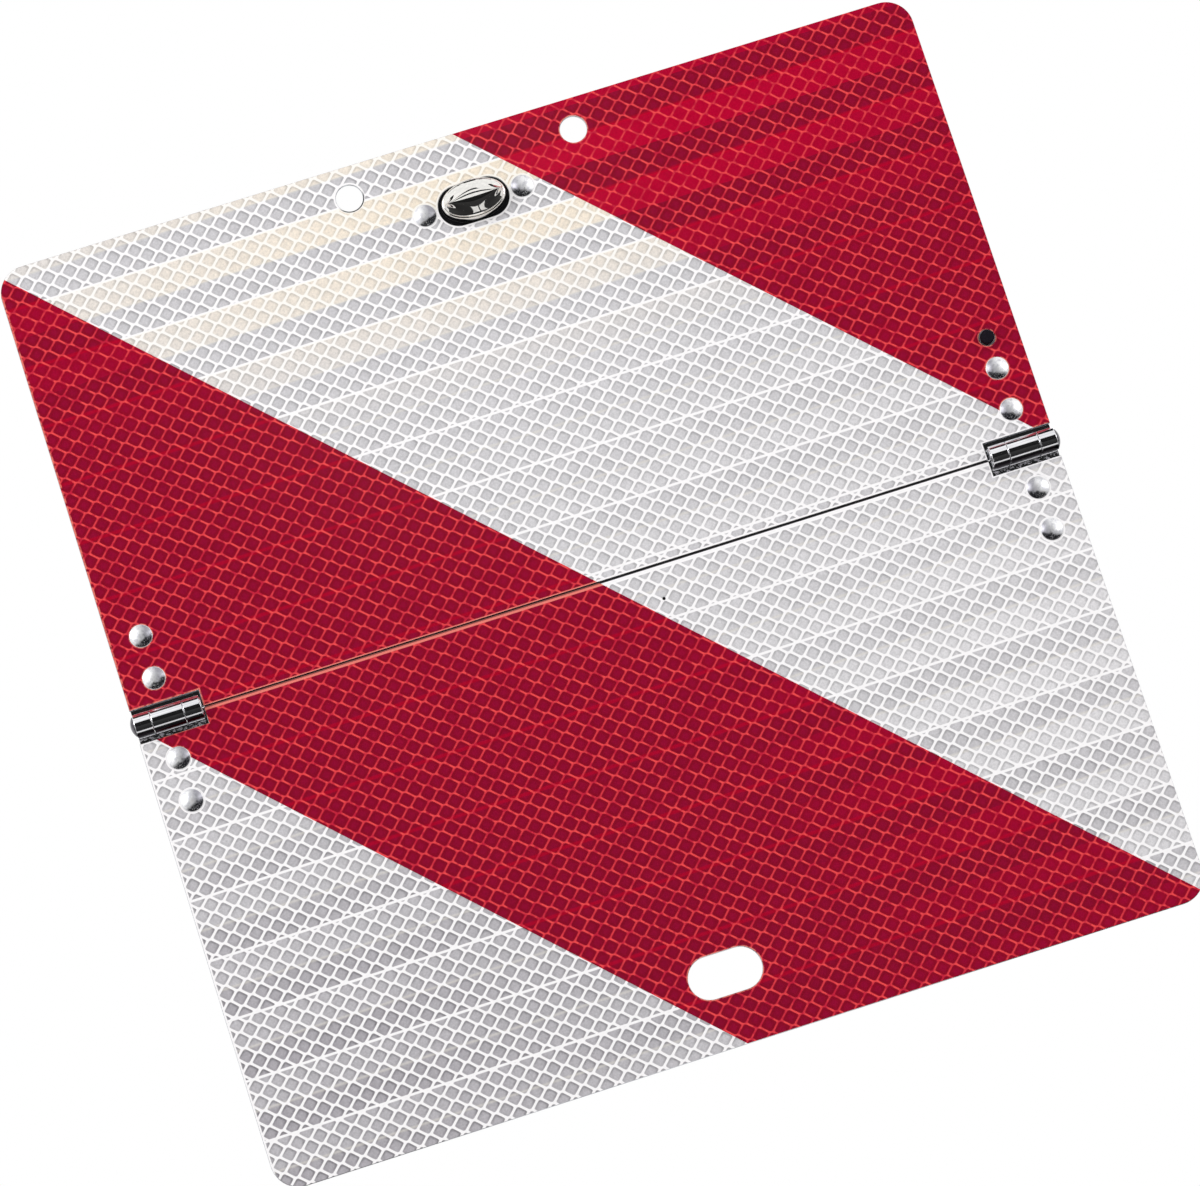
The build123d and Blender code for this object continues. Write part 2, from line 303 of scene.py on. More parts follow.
def startMaterial(name):
    material = bpy.data.materials.new(name)
    material.use_nodes = True
    tree = material.node_tree
    return material, tree, tree.nodes["Principled BSDF"]


def finishWith(material, *names):
    for name in names:
        mesh = nodes[name].data
        mesh.materials.clear()
        mesh.materials.append(material)


# Camera, at the photograph's place: low, to the left of the sign and turned
cameraSettings = {
    "place": (-0.1601, -2.2624, -0.5451),
    "aim": (-0.0006, -0.0019, -0.2020),
    "roll": -18.05,  # degrees
    "lens": 157.4,
    "sensor": 36.0,
}


def facing(place, aim):  # stands at its place and looks at its aim
    place, aim = Vector(place), Vector(aim)
    return Matrix.Translation(place) @ (aim - place).to_track_quat("-Z", "Y").to_matrix().to_4x4()


def makeCamera(settings):
    data = bpy.data.cameras.new("camera")
    data.lens = settings["lens"]
    data.sensor_width = settings["sensor"]
    camera = addObject("camera", data)
    roll = Matrix.Rotation(math.radians(settings["roll"]), 4, "Z")
    camera.matrix_world = facing(settings["place"], settings["aim"]) @ roll
    scene.camera = camera


makeCamera(cameraSettings)

# Studio, in metres: white surroundings, soft lamps, a pale floor, and black flags and a white card
# that only polished surfaces see
plainWhite = (255, 255, 255)
studio = {
    "roomLight": 0.50,
    "lamps": {
        "keyLamp": {"place": (-1.9, -2.3, 1.2), "size": 1.5, "power": 40.0},
        "fillLamp": {"place": (2.2, -1.9, 0.3), "size": 1.3, "power": 16.0},
        "backLamp": {"place": (0.9, 2.4, 1.3), "size": 1.6, "power": 34.0},
    },
    "floorHeight": -0.64,
    "floorReach": 7.0,
    "floorFade": (1.2, 3.6),  # from shadowed floor to plain white, from the sign
    "floorColour": (236, 236, 236),
    "flagColour": (8, 8, 9),
    # left and right edge, a path of (front to back, height) points, and how much higher the right end is
    "whiteCard": ((-0.12, 0.12), [(0.30, -0.62), (-0.27, -0.62)]),  # below the latch's neck
    "flags": {
        "frontFlagLeft": ((-1.10, -0.05), [(-0.28, -0.63), (-2.40, -0.63), (-2.40, 1.0)]),
        "frontFlagMiddle": ((-0.05, 0.25), [(-0.94, -0.63), (-2.40, -0.63), (-2.40, 0.30)]),
        "frontFlagRight": ((0.25, 1.10), [(-0.28, -0.63), (-2.40, -0.63), (-2.40, 1.0)]),
        "frontFlagNear": ((-0.05, 0.25), [(-0.28, -0.63), (-0.54, -0.63)]),
        "frontFlagBar": ((0.10, 0.13), [(-0.54, -0.63), (-0.94, -0.63)]),
        "lowBar": ((-0.15, 0.40), [(-1.64, 0.68), (-1.54, 0.94)], 0.20),
        "highBar": ((-0.12, 0.24), [(-1.19, 1.17), (-1.11, 1.37)], 0.16),
        "topFlag": ((-0.80, 1.00), [(-0.20, 1.8), (0.60, 1.8)]),
        "topFlagMiddle": ((-0.05, 0.36), [(-0.45, 1.8), (-0.20, 1.8)]),
        "topFlagLeft": ((-0.28, -0.18), [(-0.50, 1.8), (-0.20, 1.8)]),
        "topFlagRight": ((0.46, 0.56), [(-0.50, 1.8), (-0.20, 1.8)]),
        "lowFlagLeft": ((-0.80, -0.12), [(0.35, -0.63), (-0.14, -0.63)]),
        "lowFlagRight": ((0.12, 1.00), [(0.35, -0.63), (-0.14, -0.63)]),
    },
}


def makeWorld(settings):
    world = bpy.data.worlds.new("studioRoom")
    world.use_nodes = True
    tree = world.node_tree
    room = tree.nodes["Background"]
    feed(room, {"Color": plainWhite, "Strength": settings["roomLight"]})
    white = addNode(tree, "Background", {"Color": plainWhite, "Strength": 1.0})
    rays = addNode(tree, "LightPath", {}).outputs
    camera, glossy, through = [Field(rays[f"Is {kind} Ray"]) for kind in ("Camera", "Glossy", "Transmission")]
    mixShaders(tree, "World Output", larger(camera, larger(glossy, through)), room, white)
    scene.world = world


def makeLamps(settings):
    for name, lamp in settings["lamps"].items():
        data = bpy.data.lights.new(name, "AREA")
        data.shape = "DISK"
        data.size = lamp["size"]
        data.energy = lamp["power"]
        addObject(name, data).matrix_world = facing(lamp["place"], (0, 0, foldHeight * mm))


def makeFloor(settings):
    corners = np.array([(-1, -1), (1, -1), (1, 1), (-1, 1)]) * settings["floorReach"]
    points = np.column_stack([corners, np.full(4, settings["floorHeight"])]) / mm
    floor = meshPiece("floor", (points, [np.array([[0, 1, 2, 3]])]), smooth=False, closed=False)
    material, tree, shader = startMaterial("paleFloor")
    feed(shader, {"Base Color": settings["floorColour"], "Roughness": 0.9})
    where = Field(addNode(tree, "TexCoord", {}).outputs["Object"])
    distance = Field(addNode(tree, "VectorMath", {0: where}, operation="LENGTH").outputs["Value"])
    white = addNode(tree, "Emission", {})
    mixShaders(tree, "Material Output", fade(distance, *settings["floorFade"]), shader, white)
    floor.data.materials.append(material)


def makeFlags(settings):
    # Each flag is a straight bar of its width carried along its path, and its right end may rise.
    cloth, tree, shader = startMaterial("blackCloth")
    feed(shader, {"Base Color": settings["flagColour"], "Roughness": 1.0})
    card, tree, shader = startMaterial("whiteCard")
    feed(shader, {"Base Color": (0, 0, 0), "Specular IOR Level": 0.0,
                  "Emission Color": plainWhite, "Emission Strength": 1.0})
    flags = [(name, flag, cloth) for name, flag in settings["flags"].items()]
    for name, (sides, path, *rise), material in [*flags, ("whiteCard", settings["whiteCard"], card)]:
        left, right = [np.column_stack([np.full(len(path), side), path]) for side in sides]
        right[:, 2] += sum(rise)
        step = np.arange(len(path) - 1)
        faces = np.column_stack([step, step + 1, step + 1 + len(path), step + len(path)])
        piece = meshPiece(name, (np.vstack([left, right]) / mm, [faces]), smooth=False, closed=False)
        piece.data.materials.append(material)
        piece.visible_camera = piece.visible_diffuse = piece.visible_shadow = False


makeWorld(studio)
makeLamps(studio)
makeFloor(studio)
makeFlags(studio)
print("studio made")

# Honeycomb of the sheeting: hexagon cells with two short level edges, in rows that are half a cell apart
honeycomb = {
    "pitchAcross": 9.94,
    "pitchUp": 7.06,
    "levelEdge": 1.3,
    "cornerRound": 0.35,
    "rowPitch": 13.58,  # height of one row of tiles
    "sway": 0.30,  # the lines aren't dead straight
    "swayScale": 0.12,
    "mottle": (-0.10, 0.10),  # darker and lighter patches
    "mottleScale": 0.16,
}
# Gleams are painted highlights, and gleams below zero are painted shade: rows of tiles catch the light by
# turns, so each gleam has one amount for even rows and one for odd rows
halves = {
    "upper": {
        "cell": (0.59, -1.06),  # middle of one cell, across and up from the middle of the fold line
        "turn": 0.0033,  # how far the sheeting was laid askew
        "stretch": 0.0,
        "heavyLine": 4.15,  # one of the heavier lines between rows of tiles
        "gleams": [
            {"at": (50, 182), "reach": (420, 95), "even": -0.24, "odd": 1.05, "warmGleam": 1.0},
            {"at": (110, 0), "reach": (200, 130), "even": 0.36, "odd": -0.05},
            {"at": (-150, 60), "reach": (160, 120), "even": -0.20, "odd": -0.20},
        ],
    },
    "lower": {
        "cell": (0.46, -2.10),
        "turn": 0.0034,
        "stretch": -0.0025,
        "heavyLine": -24.7,
        "gleams": [
            {"at": (170, -80), "reach": (190, 190), "even": 0.60, "odd": 0.0},
            {"at": (-190, -170), "reach": (300, 210), "even": -0.95, "odd": -0.50},
            {"at": (60, -200), "reach": (330, 170), "even": 0.0, "odd": -0.55},
        ],
    },
}
# Openings in the sheeting: an oval has a radius and half a straight run
openings = {
    "notchInner": 180.1,
    "notchReach": 7.58,
    "hangingHole": 6.2,
    "hangingHoleAcross": 52.0,
    "buffer": 3.8,
    "latchHole": (9.35, 6.95),
    "latchSlot": (9.6, 7.1),
}
# Where the sheeting was cut its edge is pressed shut, and a plain rim without cells runs along it. Along the
# left edge that rim is also a painted highlight, for the light that the cut edge catches.
sealedEdge = {
    # along openings, more along edges, and along the fold on each half
    "white": {"rim": 0.75, "wider": 0.0, "upper": 1.1, "lower": 2.6},
    "red": {"rim": 0.40, "wider": 0.35, "upper": 0.8, "lower": 1.9},
    "softness": 0.15,
}
paintedFoldShade = {"above": 0.05, "below": 0.90, "softness": 0.12, "colour": (46, 43, 46)}  # painted shade in the joint between the halves


def cellFields(across, up):
    # Depth inside the nearest cell: the smaller distance to its slanted and to its level edges.
    # Two such fields, half a pitch apart both ways, make the whole honeycomb, and the larger one counts.
    halfAcross, halfUp = honeycomb["pitchAcross"] / 2, honeycomb["pitchUp"] / 2
    tip = halfAcross - honeycomb["levelEdge"] / 2
    run = tip - honeycomb["levelEdge"] / 2
    length = math.hypot(run, halfUp)
    rounding = honeycomb["cornerRound"] ** 2
    depths, places = [], []
    for shift in (0, 1):
        x = maths("WRAP", across + shift * halfAcross, halfAcross, -halfAcross)
        z = maths("WRAP", up + shift * halfUp, halfUp, -halfUp)
        softX, softZ = [maths("SQRT", axis * axis + rounding) for axis in (x, z)]
        slanted = (tip - softX) * (halfUp / length) - softZ * (run / length)
        depths.append(maths("SMOOTH_MIN", slanted, halfUp - softZ, honeycomb["cornerRound"]))
        places.append((x, z))
    first = maths("GREATER_THAN", *depths)
    inCell = [first * (a - b) + b for a, b in zip(*places)]
    return larger(*depths), inCell


def gleamField(across, up, half):
    # Each gleam, a painted highlight where positive and a painted shade where negative, fades out from its
    # middle, and even and odd rows of tiles have their own strength of it.
    level = up - across * half["turn"] - half["heavyLine"]
    odd = maths("FLOORED_MODULO", maths("FLOOR", level / honeycomb["rowPitch"]), 2.0)
    total, warmGleam = 0.0, 0.0
    for patch in half["gleams"]:
        (middleX, middleZ), (reachX, reachZ) = patch["at"], patch["reach"]
        near = fade(lengthOf((across - middleX) / reachX, (up - middleZ) / reachZ), 1.0, 0.0)
        gleam = near * (odd * (patch["odd"] - patch["even"]) + patch["even"])
        total, warmGleam = total + gleam, warmGleam + gleam * patch.get("warmGleam", 0.0)
    return total, warmGleam, maths("PINGPONG", level, honeycomb["rowPitch"])


def openingGap(across, up, centre, radius, straight=0.0):
    # Distance from the edge of a round or oval opening: from its middle line, less its radius.
    x, z = across - centre[0], up - centre[1]
    if straight:
        x = larger(abs(x) - straight, 0.0)
    return lengthOf(x, z) - radius


def foldShadeMask(up):  # 1 in the painted shade of the joint between the halves
    outside = larger(up - paintedFoldShade["above"], -paintedFoldShade["below"] - up)
    return fade(outside, paintedFoldShade["softness"], -paintedFoldShade["softness"])


def sealField(across, up, side, kind):
    # How far inside a sealed rim a point lies: the nearest of the openings and the outer edge counts
    # for one field, and the fold line for the other.
    mirrored, away = abs(across), abs(up)
    rivetLow, rivetHigh = boxOf(f"right_hinge_{side}_rivets")
    rivetLine, headRadius = (rivetLow[0] + rivetHigh[0]) / 2, (rivetHigh[0] - rivetLow[0]) / 2
    heights = sorted(abs(edge - foldHeight) for edge in (rivetLow[2] + headRadius, rivetHigh[2] - headRadius))
    gaps = [openingGap(mirrored, away, (rivetLine, height), headRadius) for height in heights]
    wider = sealedEdge[kind]["wider"] if side == "upper" else 0.0
    # along the left edge the sealed rim is also a painted highlight, for light caught by the cut edge
    gaps.append(across - (boxOf(f"{side}_sheeting")[0][0] + wider))  # left edge
    gaps.append(larger(openings["notchInner"] - mirrored, away - openings["notchReach"]) - wider)
    latchUp = latchHeight - foldHeight
    if side == "upper":
        buffer = np.mean(boxOf("rubber_buffer"), 0)
        latchRivet = boxOf("latch_rivets")[1][0] - headRadius
        holeAcross, holeRadius = openings["hangingHoleAcross"], openings["hangingHole"]
        gaps += [
            openingGap(across, up, (buffer[0], buffer[2] - foldHeight), openings["buffer"]),
            openingGap(mirrored, up, (latchRivet, latchUp), headRadius),
            openingGap(across, up, (0, latchUp), *openings["latchHole"]),
            openingGap(mirrored, up, (holeAcross, -foldHeight), holeRadius),
        ]
    else:
        gaps.append(openingGap(across, up, (0, -latchUp), *openings["latchSlot"]))
    nearest = gaps[0]
    for gap in gaps[1:]:
        nearest = maths("MINIMUM", nearest, gap)
    rim, fold, soft = sealedEdge[kind]["rim"], sealedEdge[kind][side], sealedEdge["softness"]
    return fade(nearest, rim + soft, rim - soft), fade(away, fold + soft, fold - soft)


def sheetFields(tree, side, kind, settings):
    half = halves[side]
    panel = millimetres(tree, (0, 0, foldHeight))
    across, up = axesOf(panel)[::2]
    sway = noise(panel, honeycomb["swayScale"], 1.0) * honeycomb["sway"] - honeycomb["sway"] / 2
    straight, askew = 1 - half["stretch"], half["turn"]
    alongRow = across * straight + up * askew - half["cell"][0] + sway
    acrossRow = up * straight - across * askew - half["cell"][1] + sway
    depth, inCell = cellFields(alongRow, acrossRow)
    gleam, warmGleam, heavy = gleamField(across, up, half)
    rim, seam = sealField(across, up, side, kind)
    grain = noise(panel, *settings["grain"])
    mottle = noise(panel, honeycomb["mottleScale"], 2.0)
    wall, soft = settings["wallHalf"], settings["wallSoft"]
    return SimpleNamespace(
        panel=panel, across=across, up=up, depth=depth, inCell=inCell, heavy=heavy, rim=rim, seam=seam,
        inside=fade(depth, wall - soft, wall + soft),
        bright=larger(gleam, 0.0),
        warmGleam=larger(warmGleam, 0.0),
        dim=larger(-gleam, 0.0),
        inFoldShade=foldShadeMask(up),
        grain=grain,
        level=spread(grain, *settings["grainRange"]) + spread(mottle, *honeycomb["mottle"]),
    )


whiteSheet = {
    "wallHalf": 0.50,
    "wallSoft": 0.20,
    "wall": (254, 252, 253),
    "wallWarmGleam": (254, 250, 242),
    "cell": (211, 209, 212),
    "cellGleam": (233, 231, 233),
    "cellWarmGleam": (244, 231, 212),
    "cellDim": (172, 168, 174),
    "rimReach": (1.8, 0.7),  # shade along the edges of a cell, from the wall's middle line
    "rimLean": (-2.2, 1.8),  # from the lower left to the upper right of a cell
    "rimShade": (0.09, 0.33),  # at those two ends
    "rimWarm": 0.4,  # less shade where a cell has the warm painted highlight
    "rimDim": 0.5,  # more where it is dim
    "tileLine": (0.35, 0.75),  # half width of the heavier lines, inner and outer
    "softGleamLine": (226, 221, 213),  # painted highlight: a soft cream line halfway between them
    "softGleamLineAmount": 0.5,
    "softGleamLineHalf": 1.0,
    "grain": (1.3, 3.0, 0.7),  # scale, detail and roughness
    "grainRange": (0.66, 1.34),
    "shine": {"specular": 0.3, "roughness": (0.14, 0.24)},
    "bump": (0.25, 0.08),  # strength and depth
    "holeEdge": {"reach": (0.55, 0.3), "colour": (30, 29, 33)},
    "speck": {"at": (25.3, -15.5), "radius": 0.75, "soft": 0.15, "colour": (16, 16, 18)},
}


def shine(shader, colour, grain, settings):
    roughness = spread(grain, *settings["roughness"])
    feed(shader, {"Base Color": colour, "Specular IOR Level": settings["specular"], "Roughness": roughness})


def makeWhiteSheeting(name, side):
    settings = whiteSheet
    material, tree, shader = startMaterial(name)
    field = sheetFields(tree, side, "white", settings)
    across, up = field.across, field.up
    cell = blend(field.bright, settings["cell"], settings["cellGleam"])
    cell = blend(field.warmGleam, cell, settings["cellWarmGleam"])
    cell = blend(field.dim, cell, settings["cellDim"])
    x, z = field.inCell
    low, high = settings["rimShade"]
    shade = fade(x * 0.6 + z * 0.8, *settings["rimLean"]) * (high - low) + low
    shade = shade * (1.0 - field.warmGleam * settings["rimWarm"]) * (1.0 + field.dim * settings["rimDim"])
    shade = shade * fade(field.depth, *settings["rimReach"])
    cell = blend(1.0, cell, field.level - shade, "MULTIPLY")
    rowPitch = honeycomb["rowPitch"]
    softGleamLine = fade(field.heavy, rowPitch - settings["softGleamLineHalf"], rowPitch)
    cell = blend(softGleamLine * settings["softGleamLineAmount"], cell, settings["softGleamLine"])
    wall = blend(field.warmGleam, settings["wall"], settings["wallWarmGleam"])
    sealed = larger(field.rim, field.seam)
    inside = field.inside * fade(field.heavy, *settings["tileLine"]) * (1.0 - sealed)
    colour = blend(inside, wall, cell)
    if side == "upper":  # the left hanging hole has a dark lower edge
        hole, holeLeft = settings["holeEdge"], -openings["hangingHoleAcross"]
        gap = openingGap(across, up, (holeLeft, -foldHeight), openings["hangingHole"])
        under = (across - holeLeft) * 0.06 - (up + foldHeight) * 0.15
        colour = blend(fade(gap, *hole["reach"]) * fade(under, 0.0, 0.6), colour, hole["colour"])
    else:
        speck = settings["speck"]
        spot = openingGap(across, up, speck["at"], speck["radius"])
        colour = blend(fade(spot, speck["soft"], -speck["soft"]), colour, speck["colour"])
    colour = blend(field.inFoldShade, colour, paintedFoldShade["colour"])
    shine(shader, colour, field.grain, settings["shine"])
    bump(shader, inside, *settings["bump"])
    return material


redFilm = {
    "wallHalf": 0.31,
    "wallSoft": 0.25,
    "wall": (244, 78, 80),
    "wallDim": (194, 34, 60),
    "cell": (146, 12, 50),
    "cellEdge": (138, 11, 38),
    "edgeReach": (0.9, 2.2),
    "cellGleam": (190, 2, 48),
    "cellDim": (120, 16, 41),
    "tileGlow": (200, 0, 38),
    "amounts": {"gleam": 0.8, "dim": 0.4, "glow": 0.40, "foldShadeAmount": 0.7},
    "tileLine": (1.2, 0.3),
    "broken": (0.34, 0.60),  # some lines stay faint
    "rim": (228, 122, 108),
    "ragged": (0.36, 0.58),  # gaps in the rim
    "seam": (236, 128, 116),
    "grain": (1.1, 3.0, 0.65),
    "grainRange": (0.78, 1.22),
    "shine": {"specular": 0.12, "roughness": (0.12, 0.20)},
    "bump": (0.2, 0.06),
}


def makeRedFilm(name, side):
    settings = redFilm
    material, tree, shader = startMaterial(name)
    field = sheetFields(tree, side, "red", settings)
    amounts = settings["amounts"]
    cell = blend(fade(field.depth, *settings["edgeReach"]), settings["cellEdge"], settings["cell"])
    cell = blend(field.bright * amounts["gleam"], cell, settings["cellGleam"])
    cell = blend(field.dim * amounts["dim"], cell, settings["cellDim"])
    cell = blend(1.0, cell, field.level, "MULTIPLY")
    glow = fade(field.heavy, *settings["tileLine"]) * amounts["glow"]
    cell = blend(glow, cell, settings["tileGlow"])
    x, z = field.inCell
    litDiagonal = fade(x * z, -2.0, 2.0)  # painted highlight: the walls on one diagonal are the brighter ones, as the light catches them
    broken = fade(noise(field.panel, 0.35, 2.0), *settings["broken"])
    wall = blend(broken * (litDiagonal * 0.5 + 0.5), settings["wallDim"], settings["wall"])
    colour = blend(field.inside, wall, cell)
    ragged = fade(noise(field.panel, 0.45, 2.0), *settings["ragged"])
    colour = blend(field.rim * ragged, colour, settings["rim"])
    colour = blend(field.seam, colour, settings["seam"])
    colour = blend(field.inFoldShade * amounts["foldShadeAmount"], colour, paintedFoldShade["colour"])
    shine(shader, colour, field.grain, settings["shine"])
    bump(shader, field.inside, *settings["bump"])
    return material


finishWith(makeWhiteSheeting("whiteSheetingUpper", "upper"), "upper_sheeting")
finishWith(makeWhiteSheeting("whiteSheetingLower", "lower"), "lower_sheeting")
finishWith(makeRedFilm("redFilmUpper", "upper"), "upper_corner_red_film", "upper_band_red_film")
finishWith(makeRedFilm("redFilmLower", "lower"), "lower_band_red_film")
print("sheeting finished")

# Metals and rubber. What lies on a metal is painted over its look, which is a dictionary of shader inputs
# painted shade in the neck's hollow and round its foot
neckShade = {
    "hollow": (13.9, 8.15),  # half the neck's inside, across and up
    "depths": ((7.4, 7.2), (0.9, 0.5)),  # where it ends in front, inside the neck and outside it
    "colours": ((12, 11, 14), (26, 25, 29)),
    "rougher": 0.3,
    "specular": 0.15,
}


def shadeNeck(tree, look, worn, streaks):  # painted shade: the plate behind the panel and the neck's inside are dull black
    across, up = neckShade["hollow"]
    x, y, z = axesOf(millimetres(tree, (0, 0, latchHeight), (1 / across, 1, 1 / up)))
    depth = -y
    inFront, outside = neckShade["depths"]
    black = larger(fade(lengthOf(x, z), 1.02, 0.98) * fade(depth, *inFront), fade(depth, *outside))
    look.update({
        "Base Color": blend(black, look["Base Color"], blend(worn, *neckShade["colours"])),
        "Roughness": black * neckShade["rougher"] + look["Roughness"],
        "Metallic": 1.0 - black,
        "Specular IOR Level": neckShade["specular"],
    })


hingeReflectionsAndBrushing = {
    # painted dark reflection under the barrel
    "darkReflection": (24, 18, 24),
    "darkReflectionAngles": ((-46.0, -52.0), (-82.0, -74.0)),  # degrees about the pin, down from straight ahead
    "darkReflectionAmount": (1.5, 0.8),
    "back": ((-4.1, -4.6), (4.0, 4.6)),  # forward from the pin, and away from the fold line
    "brushed": ((158, 159, 165), (206, 207, 212)),
    "rougher": 0.18,
    "notch": ((-5.3, -5.7), (-3.3, -3.6)),  # up and forward from the pin
    # painted reflection in the lower part of the notch
    "dustAndReflection": (150, 144, 156),
    "dustyAndReflective": (0.48, 0.66),
    "specular": 0.1,
}


def paintHingeReflectionsAndBrushing(tree, look, worn, streaks):
    # A painted dark reflection under the barrel between two angles about the pin, a brushed back, and grey
    # specks on the leaf's front in the lower part of the notch, a painted reflection
    hingeMarks = hingeReflectionsAndBrushing
    y, z = axesOf(millimetres(tree, (0, -foldDepth, foldHeight)))[1:]
    forward = -y
    angle = maths("DEGREES", maths("ARCTAN2", z, forward))
    upperEnd, lowerEnd = hingeMarks["darkReflectionAngles"]
    reflectedDark = fade(angle, *upperEnd) * fade(angle, *lowerEnd) * spread(streaks, *hingeMarks["darkReflectionAmount"])
    colour = blend(reflectedDark, look["Base Color"], hingeMarks["darkReflection"])
    behind, flat = fade(forward, *hingeMarks["back"][0]), fade(abs(z), *hingeMarks["back"][1])
    brushed = behind * flat
    colour = blend(brushed, colour, blend(worn, *hingeMarks["brushed"]))
    roughness = brushed * hingeMarks["rougher"] + look["Roughness"]
    # painted reflection: grey specks on the leaf's front in the lower part of the notch stand in for the
    # film's reflection in the leaf
    inNotch = fade(z, *hingeMarks["notch"][0]) * fade(forward, *hingeMarks["notch"][1]) * (1.0 - behind)
    specks = noise(millimetres(tree, stretch=(0.6, 1.0, 1.0)), 0.8, 3.0, 0.7)
    dustyAndReflective = inNotch * fade(specks, *hingeMarks["dustyAndReflective"])
    look.update({
        "Base Color": blend(dustyAndReflective, colour, hingeMarks["dustAndReflection"]),
        "Roughness": larger(roughness, dustyAndReflective),
        "Metallic": 1.0 - dustyAndReflective,
        "Specular IOR Level": hingeMarks["specular"],
    })


# painted dark reflection on the pin's outer end
pinDarkReflection = {"from": (181.4, 182.2), "colours": ((66, 64, 69), (116, 114, 120))}


def darkReflectPin(tree, look, worn, streaks):  # painted dark reflection: the pin is painted darker past its inner end, which stays bright
    outer = fade(abs(axesOf(millimetres(tree))[0]), *pinDarkReflection["from"])
    look["Base Color"] = blend(outer, look["Base Color"], blend(worn, *pinDarkReflection["colours"]))


def shadePanelJoint(tree, look, worn, streaks):  # painted shade in the joint between the halves: dark and dull
    inFoldShade = foldShadeMask(axesOf(millimetres(tree, (0, 0, foldHeight)))[2])
    look.update({
        "Base Color": blend(inFoldShade, look["Base Color"], paintedFoldShade["colour"]),
        "Roughness": larger(look["Roughness"], inFoldShade),
        "Metallic": 1.0 - inFoldShade,
        "Specular IOR Level": 0.0,
    })


steel = {"colour": (246, 246, 248), "dark": (222, 222, 226)}
chrome = {"colour": (250, 248, 243), "dark": (232, 230, 226), "streaks": (0.5, 0.9, 0.9), "bump": 0.03}
metals = {
    "panelAluminium": {"colour": (208, 210, 213), "dark": (176, 179, 184), "roughness": (0.42, 0.26),
                       "streaks": (0.02, 1.0, 1.6), "bump": 0.12, "painted": shadePanelJoint},
    "hingeSteel": {**steel, "roughness": (0.06, 0.02), "streaks": (0.03, 2.0, 2.0), "bump": 0.04,
                   "painted": paintHingeReflectionsAndBrushing},
    "pinSteel": {**steel, "roughness": (0.24, 0.10), "streaks": (0.7, 0.7, 0.7), "bump": 0.08,
                 "painted": darkReflectPin},
    "latchChrome": {**chrome, "roughness": (0.06, 0.02)},
    "neckChrome": {**chrome, "roughness": (0.08, 0.03), "painted": shadeNeck},
    "plainSteel": {"colour": (176, 177, 182), "dark": (128, 128, 134), "roughness": (0.40, 0.22),
                   "streaks": (0.7, 0.7, 0.7), "bump": 0.15},
}
wear = {"streaks": 0.6, "stains": 0.4, "reach": (0.30, 0.68)}  # two patterns, and from dark to bright


def makeMetal(name, settings):
    material, tree, shader = startMaterial(name)
    streaks = noise(millimetres(tree, stretch=settings["streaks"]), 1.0, 4.0, 0.6)
    stains = noise(millimetres(tree), 0.06, 3.0, 0.55)
    worn = fade(streaks * wear["streaks"] + stains * wear["stains"], *wear["reach"])
    look = {
        "Base Color": blend(worn, settings["dark"], settings["colour"]),
        "Roughness": spread(worn, *settings["roughness"]),
        "Metallic": 1.0,
    }
    if "painted" in settings:
        settings["painted"](tree, look, worn, streaks)
    feed(shader, look)
    bump(shader, streaks, settings["bump"])
    return material


# Rivet heads are satin, with a painted dark reflection along their lower edge and painted shade towards the
# sign's middle, and a rim left clean of both
satin = {
    "colour": (248, 248, 249),
    "grey": (212, 212, 217),
    "shade": (160, 159, 167),
    "tail": (150, 150, 156),  # behind the panel
    "lowerDarkReflection": (24, 24, 30),
    "metallic": 0.55,
    "roughness": (0.28, 0.42),
    "lowerDarkReflectionReach": (-0.22, -0.52),  # painted dark reflection, from none to full, in head radii towards the lower edge
    "shaded": (0.1, -0.6),  # painted shade, likewise, towards the sign's middle
    "rim": (0.99, 0.92),
}


def makeSatin(settings):
    material, tree, shader = startMaterial("rivetMetal")
    panel = millimetres(tree)
    # across, front or back, and up from the rivet's middle, in head radii
    x, front, z = axesOf(Field(addNode(tree, "Attribute", {}, attribute_name="onHead").outputs["Vector"]))
    cloud = noise(panel, 0.55, 3.0, 0.6)
    grain = noise(panel, 2.2, 2.0, 0.6)
    rim = fade(lengthOf(x, z), *settings["rim"])
    outwards = x * maths("SIGN", axesOf(panel)[0])
    drift = cloud - 0.5
    dark = fade(outwards * 0.36 + z * 0.9 + drift * 0.7, *settings["lowerDarkReflectionReach"])
    dark = dark * rim * front * fade(grain, 0.25, 0.50)
    shaded = fade(outwards + drift * 1.2, *settings["shaded"]) * rim * front
    colour = blend(fade(cloud, 0.40, 0.62) * rim, settings["colour"], settings["grey"])
    colour = blend(shaded, colour, settings["shade"])
    colour = blend(dark, colour, settings["lowerDarkReflection"])
    tail = blend(cloud, settings["tail"], settings["grey"])
    feed(shader, {
        "Base Color": blend(front, tail, colour),
        "Metallic": settings["metallic"],
        "Roughness": spread(cloud, *settings["roughness"]),
    })
    bump(shader, grain, 0.15)
    return material


rubber = {"colour": (20, 16, 25), "dustyAndReflective": (38, 33, 45), "specular": 0.08, "roughness": (0.6, 0.8)}


def makeRubber(settings):
    material, tree, shader = startMaterial("bufferRubber")
    dustAndReflection = noise(millimetres(tree), 0.9, 4.0, 0.7)
    colour = blend(fade(dustAndReflection, 0.5, 0.8), settings["colour"], settings["dustyAndReflective"])
    shine(shader, colour, dustAndReflection, settings)
    bump(shader, dustAndReflection, 0.3)
    return material


finish = {name: makeMetal(name, settings) for name, settings in metals.items()}
finish["rivetMetal"] = makeSatin(satin)
finish["bufferRubber"] = makeRubber(rubber)
finishWith(finish["panelAluminium"], "upper_panel", "lower_panel")
print("metal and rubber mixed")

